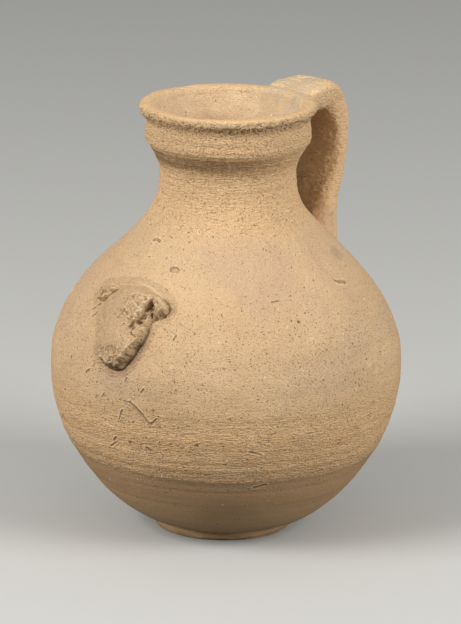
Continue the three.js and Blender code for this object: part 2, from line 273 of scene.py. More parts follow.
def round_wall(azimuth, centre, radius):
    """Distance round the wall from one azimuth, in mm."""
    return np.radians((np.asarray(azimuth) - centre + 180.0) % 360.0 - 180.0) * radius


def wall_relief(azimuth, height):
    """How far the worn, thrown surface stands off the true profile, in mm, outwards."""
    rise = height + 0.35 * np.sin(np.radians(azimuth) + 0.8)
    lines = 0.11 * ring_noise(azimuth, 7, rise / 2.6, 11) + 0.07 * ring_noise(azimuth, 11, rise / 1.3, 12)
    rough = smooth(TRIM_HEIGHT - 1.5, TRIM_HEIGHT + 1.5, height)
    strong = 0.35 + 0.9 * rough * (1 - smooth(78, 96, height)) + 0.8 * smooth(160, 176, height)
    broad = 0.34 * ring_noise(azimuth, 9, height / 34.0, 13)
    broad = broad + 0.2 * ring_noise(azimuth, 17, height / 17.0, 14)
    rings = 0.16 * ring_noise(azimuth, 3, rise / 7.5, 15)
    lumps = 0.13 * ring_noise(azimuth, 90, height / 5.2, 16)
    lumps = lumps + 0.08 * ring_noise(azimuth, 190, height / 2.6, 17)
    relief = lines * strong + broad + rings + lumps * (0.35 + 0.75 * rough)
    # The groove under the collar, and the small step down to the trimmed bowl
    relief = relief - 0.15 * bell(height - 197.4, 1.8)
    relief = relief - 0.38 * (1 - rough)
    for at, depth, width in TURNED_LINES:
        wave = 0.6 * np.sin(np.radians(azimuth) + at)
        patchy = 0.55 + 0.45 * ring_noise(azimuth, 8, at, int(at))
        relief = relief - depth * patchy * bell(height - at - wave, width)
    return relief


def landing_relief(azimuth, s, radius):
    """Clay smeared out round the lower end of the handle."""
    across = round_wall(azimuth, LANDING_AZIMUTH, radius)
    down = LANDING_S - s
    wide = 21.0 + 0.12 * np.clip(down, 0, 20)
    ring = np.hypot(across / wide, (down - 1.0) / 22.0)
    swell = 1.5 * bump(round_wall(azimuth, 50.0, radius), down, 0.0, 2.0, 24.0, 15.0)
    return 3.1 * (1 - smooth(0.42, 1.0, ring)) + swell * smooth(0.3, 1.0, ring)


# The applied head, in mm over the wall: x to the right as it is seen, y up the wall.
SKULL = [
    (14.0, 9.0), (14.3, 7.2), (14.0, 5.0), (14.1, 2.6), (13.8, -0.3), (13.1, -2.9), (12.1, -5.1),
    (11.1, -6.8), (10.6, -8.9), (9.8, -11.3), (8.4, -13.5), (6.7, -15.5), (4.6, -17.1), (2.0, -17.8),
    (-1.2, -17.7), (-5.6, -16.3), (-10.0, -14.5), (-11.9, -12.6), (-13.0, -9.2), (-13.6, -5.2),
    (-15.0, -0.9), (-17.0, 3.4), (-19.5, 7.7), (-23.0, 11.5), (-25.0, 15.0), (-23.5, 20.0),
    (-17.0, 23.4), (-8.0, 26.2), (0.0, 26.8), (6.0, 25.4), (10.5, 23.6), (14.0, 21.0), (14.2, 14.0),
]
CROWN = [
    (12.4, -1.6), (11.7, -2.9), (10.5, -5.0), (9.2, -8.7), (8.0, -10.6), (6.3, -12.1), (3.6, -13.3),
    (0.0, -13.8), (-4.0, -13.3), (-6.8, -12.0), (-7.8, -9.0), (-7.6, -5.0), (-8.0, 0.0), (-9.0, 3.0),
    (-10.0, 6.0), (-11.5, 9.6), (-12.0, 12.8), (-9.0, 16.0), (-5.0, 18.0), (0.0, 19.3), (4.0, 19.6),
    (8.3, 19.0), (11.2, 17.6), (11.6, 16.6), (10.6, 15.0), (9.7, 13.3), (9.7, 10.8), (9.3, 7.9), (8.4, 5.8),
    (7.2, 4.4), (6.9, 3.4), (8.2, 2.2), (9.6, 0.5), (11.2, -0.5),
]
HOLLOW = [
    (12.1, 17.2), (11.0, 15.2), (10.1, 13.3), (10.1, 10.8), (9.7, 8.2), (8.7, 5.6), (9.6, 5.0), (12.4, 5.4),
    (14.6, 7.0), (14.4, 9.3), (13.3, 11.2), (13.8, 13.4), (14.2, 15.0), (13.2, 16.6),
]
HORN = [
    (6.0, 25.2), (11.0, 23.4), (13.9, 21.7), (15.9, 20.6), (18.0, 18.8), (19.6, 16.8), (20.3, 14.4),
    (19.8, 12.3), (18.0, 10.9), (16.2, 9.9), (14.0, 9.0), (12.7, 10.6), (13.1, 13.4), (13.5, 15.0),
    (12.0, 17.0), (8.5, 19.6),
]
HORN_TOP = [
    (9.0, 20.6), (12.5, 19.6), (15.6, 18.3), (17.9, 16.9), (19.2, 15.2), (19.2, 13.8), (17.9, 13.3),
    (15.8, 13.7), (14.8, 15.3), (13.2, 17.0), (10.5, 18.6),
]
STUB = [
    (-27.4, 14.1), (-28.2, 15.9), (-26.4, 17.6), (-25.3, 19.8), (-22.3, 21.8), (-16.9, 22.8), (-11.0, 22.4),
    (-10.8, 20.5), (-14.1, 18.0), (-14.8, 16.0), (-18.0, 14.2), (-20.0, 12.9), (-22.9, 12.3), (-25.5, 12.7),
]
# Pale lines: a scraped mark over the brow, and ridges down the muzzle's right edge and round its front that
# are painted pale as highlight
SCRAPED = [
    [(-3.2, 27.4), (1.1, 26.8), (5.5, 25.6), (10.2, 23.5), (12.6, 22.1)],
    [(9.6, -3.0), (9.4, -5.7), (9.1, -8.0), (8.0, -10.0), (6.4, -12.0), (4.6, -13.9)],
    [(-5.2, -13.1), (-3.0, -14.0), (-0.3, -14.9), (2.6, -14.8)],
]
CREVICE = [
    (13.0, 17.8), (11.9, 15.7), (10.5, 14.2), (9.9, 12.0), (9.4, 9.4), (8.8, 7.3), (8.6, 5.9), (7.0, 4.9),
    (5.9, 3.5),
]
BROW_RIDGE = [(x - 1.5, y + 0.3) for x, y in CREVICE[:7]]
JAW = [(8.5, -13.7), (6.8, -15.8), (4.6, -17.4), (2.0, -18.1), (-1.4, -18.0), (-5.8, -16.5), (-10.2, -14.7)]
# Single pits: x, y, radius and depth
HEAD_PITS = (
    (8.5, 9.3, 0.45, 1.2), (2.6, 16.7, 0.6, 0.8), (-0.4, -9.5, 0.8, 0.7), (3.6, -10.1, 1.1, 0.7),
    (1.1, -9.0, 0.6, 0.5), (6.6, 3.8, 0.6, 0.9), (-7.0, -12.6, 0.6, 0.6), (12.6, 15.9, 0.9, 1.3),
)
# Wiped clay round the head, scraped and crumbled ridges, and tool marks: line, width and rise
HEAD_MARKS = (
    ([(-17.7, 23.8), (-8.0, 26.8), (-0.2, 27.4), (5.7, 25.9), (10.3, 24.0), (13.4, 22.2)], 0.5, 0.65),
    (SCRAPED[1], 0.4, 0.5),
    (SCRAPED[2], 0.5, 0.45),
    (CREVICE, 0.45, -0.8),
    (BROW_RIDGE, 0.9, 0.7),
    ([(-22.1, 10.9), (-24.2, 8.7), (-24.4, 6.5)], 0.35, -0.4),
    ([(-16.8, 11.0), (-13.6, 7.2), (-12.5, 5.1), (-8.1, 5.0)], 0.35, -0.22),
    ([(-3.0, -18.3), (-2.6, -20.0), (-2.1, -21.6)], 0.35, 0.3),
    ([(13.2, -2.0), (12.3, -5.0), (11.2, -7.2), (10.8, -9.0), (9.9, -11.4), (8.5, -13.7)], 0.32, -0.4),
    (JAW, 0.4, -0.8),
    ([(20.1, 12.2), (18.2, 10.7), (16.2, 9.7), (14.2, 8.7)], 0.35, -0.7),
    ([(18.3, 18.9), (19.9, 16.9), (20.6, 14.4), (20.1, 12.2)], 0.32, -0.4),
)


def to_segment(x, y, a, b):
    """Distance to the straight line from a to b."""
    (ax, ay), (bx, by) = a, b
    ex, ey = bx - ax, by - ay
    t = np.clip(((x - ax) * ex + (y - ay) * ey) / (ex * ex + ey * ey), 0, 1)
    return np.hypot(x - ax - t * ex, y - ay - t * ey)


def to_line(x, y, line):
    """Distance to a broken line."""
    p = np.array(line, float)
    return reduce(np.minimum, [to_segment(x, y, a, b) for a, b in zip(p[:-1], p[1:])])


def to_polygon(x, y, polygon):
    """Signed distance to a polygon's outline, positive inside."""
    p = np.array(polygon, float)
    inside = np.zeros(x.shape, bool)
    for (ax, ay), (bx, by) in zip(p, np.roll(p, -1, axis=0)):
        crosses = (ay > y) != (by > y)
        inside ^= crosses & (x < (bx - ax) * (y - ay) / (by - ay + 1e-12) + ax)
    nearest = to_line(x, y, np.vstack([p, p[:1]]))
    return np.where(inside, nearest, -nearest)


def between_outlines(x, y, low, high):
    """0 on the lower outline and 1 on the upper one."""
    foot = np.clip(to_polygon(x, y, low), 0, None)
    crown = np.clip(-to_polygon(x, y, high), 0, None)
    return foot / (foot + crown + 1e-6)


def brow_zone(x, y):
    """1 on the crumbly brow beside the hollow."""
    return smooth(-3.5, 0.5, x) * smooth(3.5, 7.5, y) * smooth(20.8, 18.5, y)


def muzzle_band(x, y):
    """1 on the steep right side and front of the muzzle."""
    share = between_outlines(x, y, SKULL, CROWN)
    return smooth(0.0, 0.15, share) * smooth(1.0, 0.75, share) * smooth(3.0, -1.0, y) * smooth(-9.0, -5.0, x)


def under_horn(x, y):
    """1 on the steep lower side of the right horn."""
    rise = between_outlines(x, y, HORN, HORN_TOP)
    return smooth(0.0, 0.15, rise) * smooth(1.0, 0.7, rise) * smooth(15.5, 12.5, y)


def head_height(x, y):
    """Height of the applied clay over the wall."""
    x = x + 0.35 * lattice(x / 2.6, y / 2.6, 31)
    y = y + 0.35 * lattice(x / 2.7, y / 2.7, 32)
    share = between_outlines(x, y, SKULL, CROWN)
    gentle = most(smooth(-3.0, -9.0, x) * smooth(-15.5, -10, y), smooth(16.5, 21.0, y))
    steep = np.sin(0.5 * np.pi * share) ** 0.62
    shape = mix(steep, smooth(0, 1, share), gentle)
    top = 6.2 + 2.5 * bump(x, y, 2.6, -7.0, 9.5, 8.0) + 0.8 * bump(x, y, 4.5, 13, 6.0, 6.0)
    top = top - 1.9 * bump(x, y, 7.2, 3.9, 3.0, 1.9) - 0.27 * np.clip(-4.5 - x, 0, None)
    skull = top * shape
    # The hollow beside the brow
    cut = smooth(-0.35, 0.35, to_polygon(x, y, HOLLOW))
    floor = 2.9 + 0.8 * lattice(x / 1.3, y / 1.3, 33) + 0.5 * smooth(9.5, 5.5, y)
    floor = floor - 1.0 * bump(x, y, 11.6, 14.6, 1.2, 2.0)
    skull = mix(skull, np.minimum(skull, floor), cut)
    # Right horn: a blunt, thick stump that leaves the brow and bends down
    rise = between_outlines(x, y, HORN, HORN_TOP)
    sharp = np.sin(0.5 * np.pi * rise)
    horn = (6.1 - 0.12 * np.clip(x - 14, 0, None)) * mix(sharp, smooth(0, 1, rise), smooth(15.5, 19.5, y))
    # Left horn: a broken, crumbly stub with a round end and a pit in it
    stub = 3.3 * smooth(-0.1, 1.0, np.clip(to_polygon(x, y, STUB), 0, None) / 1.3) ** 0.8
    crater = np.hypot((x + 24.6) / 2.4, (y - 15.2) / 1.9)
    stub = stub - 1.1 * smooth(1.0, 0.3, crater) * (stub > 0.2)
    stub = stub - 2.0 * bump(x, y, -21.0, 17.4, 1.5, 1.1) + 1.0 * lattice(x / 1.4, y / 1.3, 34) * (stub > 0.2)
    # Right ear: a small disc pressed against the cheek, with a crevice below and behind it
    disc = np.hypot((x - 11.5) / 3.0, (y - 2.5) / 3.0) + 0.2 * lattice(x / 1.3, y / 1.3, 42)
    lobe = (6.1 - 0.3 * (x - 11)) * np.sqrt(np.clip(1 - disc**4, 0, 1)) ** 0.7
    crease = bell(disc - 1.08, 0.11) * smooth(3.6, 2.0, y + 0.35 * (x - 9))
    height = soft_max(soft_max(skull, horn, 0.7), stub, 0.5)
    height = np.maximum(height, lobe * (x < 14.3)) - 1.1 * crease * smooth(0.5, 2, height)
    # Crumbs
    solid = smooth(0.0, 1.0, height)
    crumbly = most(
        0.9 * brow_zone(x, y),
        0.9 * smooth(1.15, 0.8, disc),
        0.8 * smooth(-6.0, -8.5, y),
        0.7 * (smooth(0.8, 0.5, share) * (1 - gentle)),
        1.3 * bump(x, y, 10.4, -6.6, 2.2, 2.0),
        1.15 * smooth(0.1, 0.6, rise),
        cut * (x > 0),
    )
    across, along = 0.75 * x - 0.65 * y, 0.65 * x + 0.75 * y
    grit = 0.9 * lattice(across / 1.3, along / 2.2, 35) + 0.4 * lattice(x / 1.05, y / 0.95, 36)
    grit = grit + 0.3 * lattice(x / 0.62, y / 0.6, 38) + 0.5 * lattice(x / 2.6, y / 2.2, 39)
    height = height + solid * np.clip(crumbly, 0.12, 1.3) * grit
    height = height + 0.18 * solid * lattice(x / 4.4, y / 4.4, 37)
    for px, py, radius, depth in HEAD_PITS:
        height = height - depth * bump(x, y, px, py, radius, radius * 0.75)
    for line, width, rise_by in HEAD_MARKS:
        height = height + rise_by * bell(to_line(x, y, line), width)
    return height


def head_reach(x, y):
    """Distance inside the patch of wall that is modelled with the head."""
    return most(*(to_polygon(x, y, outline) for outline in (SKULL, HORN, STUB))) + PATCH_MARGIN


# Meshes
def make_mesh(name, points, faces, normals, hidden, painted_light_and_scrapes):
    """An object from points in mm. Normals are per point, and hidden faces keep their own."""
    mesh = bpy.data.meshes.new(name)
    mesh.from_pydata((points * MM).tolist(), [], faces)
    mesh.validate(clean_customdata=False)
    mesh.update()
    # The painted light each point carries: painted shade above 0, painted highlight and pale scraped marks
    # below it.
    found = mesh.attributes.new("painted_light_and_scrapes", "FLOAT", "POINT")
    found.data.foreach_set("value", np.asarray(painted_light_and_scrapes, np.float32))
    mesh.polygons.foreach_set("use_smooth", np.ones(len(mesh.polygons), bool))
    loops = np.empty(len(mesh.loops), np.int32)
    mesh.loops.foreach_get("vertex_index", loops)
    chosen = normals[loops]
    totals = np.array([p.loop_total for p in mesh.polygons])
    flat = np.repeat(np.array([p.normal[:] for p in mesh.polygons]), totals, axis=0)
    mask = np.repeat(np.asarray(hidden, bool), totals)
    chosen[mask] = flat[mask]
    mesh.normals_split_custom_set(chosen.tolist())
    obj = bpy.data.objects.new(name, mesh)
    bpy.context.scene.collection.objects.link(obj)
    return obj


def grid_normals(grid):
    """Unit normals of rows of rings, pointing to the left of the rows' direction."""
    along = np.gradient(grid, axis=0)
    around = np.roll(grid, -1, axis=1) - np.roll(grid, 1, axis=1)
    normal = np.cross(around, along)
    return normal / (np.linalg.norm(normal, axis=2)[:, :, None] + 1e-12)


def blurred(grid, rows_by, columns_by, wrap):
    """The mean of a grid over a window of rows and columns."""
    rows, columns = grid.shape[:2]
    total = 0.0
    for k in range(-rows_by, rows_by + 1):
        total = total + grid[np.clip(np.arange(rows) + k, 0, rows - 1)]
    grid, total = total / (2 * rows_by + 1), 0.0
    for k in range(-columns_by, columns_by + 1):
        index = np.arange(columns) + k
        total = total + grid[:, index % columns if wrap else np.clip(index, 0, columns - 1)]
    return total / (2 * columns_by + 1)


def shelter(grid, normals, near, wide, strength, wrap=True):
    """How far each point lies in a hollow: about 1 in a crevice, below 0 on a crumb or an edge."""
    fine = np.sum((blurred(grid, *near, wrap) - grid) * normals, axis=2)
    broad = np.sum((blurred(grid, *wide, wrap) - grid) * normals, axis=2)
    broad = blurred(np.clip(broad - 0.1, 0, None)[:, :, None], 2, 1, wrap)[:, :, 0]
    return np.clip(strength * (np.where(fine > 0, fine / 0.4, fine / 0.42) + broad / 1.3), -1.0, 1.0)


def ring_grid(line, relief):
    """Rows of rings round the axis from a line of radius and height, moved out by relief."""
    out = normals_of(line)
    move = relief(line)
    radius = line[:, :1] + out[:, :1] * move
    height = line[:, 1:] + out[:, 1:] * move
    return np.stack([radius * np.cos(angles), radius * np.sin(angles), height], 2)


def ring_piece(name, grid, normals, painted_light_and_scrapes, ends=None):
    """Closes rows of rings into one piece: onto a point at each end, or the last row to the first."""
    rows, count = grid.shape[:2]
    points, normals, painted_light_and_scrapes = grid.reshape(-1, 3), normals.reshape(-1, 3), painted_light_and_scrapes.ravel()
    index = np.arange(count)
    following = (index + 1) % count
    last = (rows - 1) * count
    faces = []
    for first in range(0, last, count):
        a, b = first + index, first + following
        faces += np.stack([a, b, b + count, a + count], 1).tolist()
    hidden = [False] * len(faces)
    if ends is None:
        faces += np.stack([last + index, last + following, following, index], 1).tolist()
    else:
        centre = len(points)
        points = np.vstack([points, *ends])
        normals = np.vstack([normals, (0.0, 0.0, 1.0), (0.0, 0.0, 1.0)])
        painted_light_and_scrapes = np.append(painted_light_and_scrapes, (0.0, 0.0))
        for a, b, middle in ((following, index, centre), (last + index, last + following, centre + 1)):
            faces += np.stack([a, b, np.full(count, middle)], 1).tolist()
    hidden += [True] * (len(faces) - len(hidden))
    return make_mesh(name, points, faces, normals, hidden, painted_light_and_scrapes)


# The vessel: relief of each part for a line of radius and height
def outer_relief(line):
    """The outer wall, which sinks under the patch that the head is modelled on."""
    radius, height = line[:, :1], line[:, 1:]
    s = np.interp(height, wall[:, 1], wall_s)
    relief = wall_relief(azimuths, height) + landing_relief(azimuths, s, radius)
    lumps = 0.0
    for azimuth, level, wide, rise in LUMPS:
        lumps = lumps + rise * bump(round_wall(azimuths, azimuth, radius), height, 0.0, level, wide, wide)
    relief = relief + lumps
    x, y = np.broadcast_arrays(round_wall(azimuths, HEAD_AZIMUTH, radius), s - HEAD_S)
    near = (np.abs(x) < 45) & (np.abs(y) < 45)
    sunk = np.zeros(relief.shape)
    sunk[near] = smooth(1.7, 3.2, head_reach(x[near], y[near]))
    return relief - PATCH_SINK * sunk


def inner_waves(z, strength):
    waves = strength * ring_noise(azimuths, 3, z / 6.0, 21)
    return waves + 0.2 * ring_noise(azimuths, 40, z / 4.0, 22)


def inner_relief(line):
    z = line[:, 1:]
    return inner_waves(z, 0.32) * smooth(0, 6, np.abs(z - COLLAR_HEIGHT) + 4.0)


def collar_relief(line):
    r, z = line[:, :1], line[:, 1:]
    s = arc_lengths(line)[:, None]
    lip = smooth(BAND_TOP + 3.0, BAND_TOP + 8.0, z)
    outside = smooth(bore + 1.5, COLLAR_RADIUS - 0.5, r)
    chips = 0.13 * ring_noise(azimuths, 150, s / 1.8, 41) + 0.1 * ring_noise(azimuths, 260, s / 1.0, 42)
    crumbs = smooth(211.0, 213.0, z) * smooth(219.0, 217.0, z) * outside
    crumbs = crumbs * (0.35 + 0.65 * smooth(-0.2, 0.3, ring_noise(azimuths, 11, 0.0 * s, 45)))
    dents = 0.22 * ring_noise(azimuths, 14, s / 9.0, 43)
    grooves = 0.16 * ring_noise(azimuths, 5, z / 1.1, 44) * outside
    low_edge = bell(z - COLLAR_HEIGHT - 0.8, 1.4) * outside
    relief = 0.6 * wall_relief(azimuths, z) * outside + grooves + lip * dents
    relief = relief + (0.3 * lip + 4.0 * crumbs + 1.6 * low_edge) * chips
    return relief - 0.6 * inner_waves(z, 0.3) * (1 - outside) * (1 - lip)


def foot_relief(line):
    s = arc_lengths(line)[:, None]
    ragged = 0.35 * ring_noise(azimuths, 60, s / 3.0, 51) + 0.3 * ring_noise(azimuths, 22, s / 9.0, 52)
    lopsided = 0.9 * np.cos(np.radians(azimuths + 150.0))
    sideways = smooth(0.2, 0.8, normals_of(line)[:, :1])
    return (ragged * smooth(0.0, 1.2, line[:, 1:]) + lopsided) * sideways


def no_relief(line):
    return np.zeros((len(line), COLUMNS))


# One skin over the whole outside and inside gives each shared row one normal, so that no seam shows.
floor_top = FOOT_HEIGHT + WALL
bowl_in = between(inner_wall, inner_wall[0, 1], SEAM_HEIGHT)[::-1]
grids = {
    key: ring_grid(resample(line, spacing), relief)
    for key, line, spacing, relief in (
        ("foot", foot_line, 0.45, foot_relief),
        ("skirt", skirt, 0.8, no_relief),
        ("lower", between(wall, FOOT_HEIGHT, SEAM_HEIGHT), 0.9, outer_relief),
        ("upper", between(wall, SEAM_HEIGHT, NECK_BASE_HEIGHT), 1.0, outer_relief),
        ("neck", between(wall, NECK_BASE_HEIGHT, COLLAR_HEIGHT), 0.75, outer_relief),
        ("collar", collar_line, 0.5, collar_relief),
        ("neck_in", between(inner_wall, NECK_BASE_HEIGHT, COLLAR_HEIGHT)[::-1], 2.0, inner_relief),
        ("upper_in", between(inner_wall, SEAM_HEIGHT, NECK_BASE_HEIGHT)[::-1], 5.0, inner_relief),
        ("lower_in", np.vstack([bowl_in, [8.0, floor_top]]), 4.0, inner_relief),
    )
}
grids["foot"][:, :, 2] = np.clip(grids["foot"][:, :, 2], 0.0, None)
plain_skirt = grids["skirt"]
fade = np.linspace(0, 1, len(plain_skirt))[:, None, None]
lead = (grids["foot"][-1] - plain_skirt[0])[None] * (1 - fade)
tail = (grids["lower"][0] - plain_skirt[-1])[None] * fade
grids["skirt"] = plain_skirt + lead + tail
whole = np.concatenate([grids["foot"][:1]] + [grid[1:] for grid in grids.values()])
whole_normals = grid_normals(whole)


def collar_painted_light(grid):
    """Painted shadow under the collar, most on the side of the head, a painted highlight along the collar's
    lower edge, and painted shade on the mouth's inner wall at the left.
    """
    azimuth, z = np.arctan2(grid[:, :, 1], grid[:, :, 0]), grid[:, :, 2]
    radius = np.hypot(grid[:, :, 0], grid[:, :, 1])
    outside, inside = radius > NECK_RADIUS - 3.0, radius < lip_inner + 0.5
    side = np.clip(0.45 + 0.65 * np.cos(azimuth + np.radians(85.0)), 0.15, 1.0)
    crumbs = 1.0 + 0.6 * lattice(np.degrees(azimuth) / 2.4, z / 1.2, 46, 150)
    # Painted shadow below the collar, and a painted highlight on its lower edge.
    under = 0.78 * (0.8 + 0.2 * crumbs) * smooth(185.5, 194.5, z) * smooth(198.4, 197.4, z)
    edge_highlight = 0.5 * crumbs * bell(z - 199.8, 0.9)
    # Painted shade on the inner wall of the mouth at the left.
    inner_side = np.clip(np.cos(azimuth + np.radians(140.0)), 0, 1) ** 2 * inside
    inner_shade = 0.36 * smooth(186.0, 200.0, z) * smooth(217.5, 213.0, z)
    return (under - edge_highlight) * side * outside + inner_shade * inner_side


# Painted light over the skin: painted shade in hollows and painted highlight on crumbs and edges, with less
# shade under the lip and at the collar's groove, plus the collar's painted shadow and highlight.
whole_shelter = shelter(whole, whole_normals, (2, 2), (6, 6), 0.8)
in_painted_shade, z = whole_shelter > 0, whole[:, :, 2]
less_shade_under_lip = 1 - 0.8 * (smooth(203.0, 207.0, z) * smooth(214.0, 211.0, z) * in_painted_shade)
less_shade_at_groove = 1 - 0.6 * (bell(z - 198.0, 1.6) * in_painted_shade)
whole_shelter = np.clip(whole_shelter * less_shade_under_lip * less_shade_at_groove + collar_painted_light(whole), -1.0, 1.0)
spans = {}
row = 0
for key, grid in grids.items():
    spans[key] = slice(row, row + len(grid))
    row += len(grid) - 1


def vessel_piece(name, keys, ends=None):
    """A piece made of some parts of the skin."""
    skin = (whole, whole_normals, whole_shelter)
    return ring_piece(name, *(np.concatenate([field[spans[key]] for key in keys]) for field in skin), ends)


foot = vessel_piece("foot_clay", ("foot", "skirt"), [(0, 0, 0), (0, 0, FOOT_HEIGHT - 0.05)])
body_lower = vessel_piece("body_lower_clay", ("lower", "lower_in"), [(0, 0, FOOT_HEIGHT), (0, 0, floor_top)])
body_upper = vessel_piece("body_upper_clay", ("upper", "upper_in"))
neck = vessel_piece("neck_clay", ("neck", "neck_in"))
collar = vessel_piece("mouth_collar_clay", ("collar",))

# Handle: a strap swept along a line of radius and height. Rows run down it and columns round it.
crest = np.array([CREST_RADIUS, HANDLE_TOP - 0.5 * HANDLE_THICKNESS])
run_start = np.array([COLLAR_RADIUS - 3.0, crest[1] - START_DROP])
outermost = np.array([HANDLE_REACH - 0.5 * HANDLE_THICKNESS, OUTERMOST_HEIGHT])
landing = np.array([LANDING_RADIUS, LANDING_HEIGHT])
strap_end = np.array([landing[0] - 2.0, SHOULDER_HEIGHT - 4])
run, bend, drop = crest[0] - run_start[0], outermost[0] - crest[0], outermost[1] - landing[1]
over_bend = outermost + (0, 0.6 * (crest[1] - outermost[1]))
over_landing = landing + (0.22 * (outermost[0] - landing[0]), 0.41 * drop)
strap = resample(
    joined([
        cubic(run_start, run_start + (0.4 * run, 0.75 * START_DROP), crest - (0.3 * run, 0), crest),
        cubic(crest, crest + (0.45 * bend, 0), over_bend, outermost),
        cubic(outermost, outermost - (0, 0.46 * drop), over_landing, landing),
        np.linspace(landing, strap_end, 60),
    ]),
    STRAP_STEP,
)
out = -normals_of(strap)
share = np.linspace(0, 1, len(strap))[:, None]
length = arc_lengths(strap)[:, None]
theta = 2 * np.pi * (np.arange(STRAP_COLUMNS) + 0.5) / STRAP_COLUMNS
across = np.sign(np.cos(theta)) * np.abs(np.cos(theta)) ** STRAP_ROUNDNESS
lift = np.sign(np.sin(theta)) * np.abs(np.sin(theta)) ** STRAP_ROUNDNESS
half_wide = 0.5 * HANDLE_WIDTH + np.interp(share, [0, 0.3, 0.75, 0.9, 1], [1.7, 0, 0, 2.2, 4.2])
half_wide = half_wide + 0.5 * lattice(length / 21.0, 0.3, 61)
outer_depth = np.interp(share, [0, 0.6, 0.85, 0.93, 1], [-0.25, -0.25, 0.6, 0.3, -2.5])
outer_depth = 0.5 * HANDLE_THICKNESS + outer_depth + 0.25 * lattice(length / 16.0, 0.7, 62)
thick_at = [0, 0.1, 0.19, 0.28, 0.36, 0.44, 0.65, 0.8, 0.9, 1]
thicker = np.interp(share[:, 0], thick_at, [4, 3.4, 5, 5.2, 2.6, 0.3, 0, 1.4, 4, 5])
inner_depth = 0.5 * HANDLE_THICKNESS + smooth_rows(thicker, 9)[:, None]
plain = smooth(0.2, 0.38, share) * (1 - smooth(0.7, 0.9, share))
hollow = np.where(lift > 0, 0.8 * (1 - across**2), 0) * plain
depth = np.where(lift > 0, outer_depth, inner_depth)
under = (lift < 0) * 1.0
sideways = half_wide * across + 60.0 * under + 4.0 * lift
down = length + 0.35 * sideways * under
hand = 0.34 * lattice(down / 15.0, sideways / 11.0, 63) + 0.16 * lattice(down / 5.5, sideways / 4.5, 64)
hand = hand + 0.3 * under * lattice(down / 2.3, sideways / 7.0, 66)
hand = hand + (0.08 + 0.16 * under) * lattice(down / 1.3, sideways / 1.3, 65)
far_side = smooth(0.2, 1.0, -across) * np.clip(lift, 0, 1)
lifted = depth * lift - hollow + hand * lift + 1.9 * far_side * bell(share - 0.095, 0.06)
side = half_wide * across + 0.8 * hand * across
handle_grid = np.stack([side, strap[:, :1] + out[:, :1] * lifted, strap[:, 1:] + out[:, 1:] * lifted], 2)
# The end stays inside the lip.
reach = np.hypot(handle_grid[:, :, 0], handle_grid[:, :, 1])
handle_grid[:, :, 1] += np.clip(lip_inner + 2.2 - reach, 0, None) * (handle_grid[:, :, 2] > COLLAR_HEIGHT)
handle_normals = grid_normals(handle_grid)
# The strap's shaded inner face, which narrows towards the far side as it comes down
shaded = np.interp(share, [0.2, 0.34, 0.6, 0.75, 0.9, 0.97], [0, 0.15, 0.15, 0.5, 0.8, 0])
limit = np.interp(share, [0.3, 0.6, 0.9], [1.2, 1.0, 0.4])
shaded = shaded * smooth(0.6, 0.85, -lift) * smooth(limit + 0.15, limit - 0.15, across)
# The strap's painted light: painted shade in its hollows and on its inner face, painted highlight on crumbs
# and edges.
handle_shelter = shelter(handle_grid, handle_normals, (2, 2), (6, 6), 0.35) + shaded
ends = [(0, *strap[0]), (0, *strap[-1])]
handle = ring_piece("handle_clay", handle_grid, handle_normals, handle_shelter, ends)

# Head, horns and ear, as one patch of pressed clay that is split along the real pieces
gx, gy = np.meshgrid(np.arange(-35, 26, PATCH_STEP), np.arange(-23, 32, PATCH_STEP))


def wall_point(x, y, lifted_by):
    s = HEAD_S + y
    radius, height = np.interp(s, wall_s, wall[:, 0]), np.interp(s, wall_s, wall[:, 1])
    out_r, out_z = np.interp(s, wall_s, wall_out[:, 0]), np.interp(s, wall_s, wall_out[:, 1])
    azimuth = np.radians(HEAD_AZIMUTH) + x / radius
    relief = wall_relief(np.degrees(azimuth), height) + lifted_by
    r = radius + out_r * relief
    return np.stack([r * np.cos(azimuth), r * np.sin(azimuth), height + out_z * relief], -1)


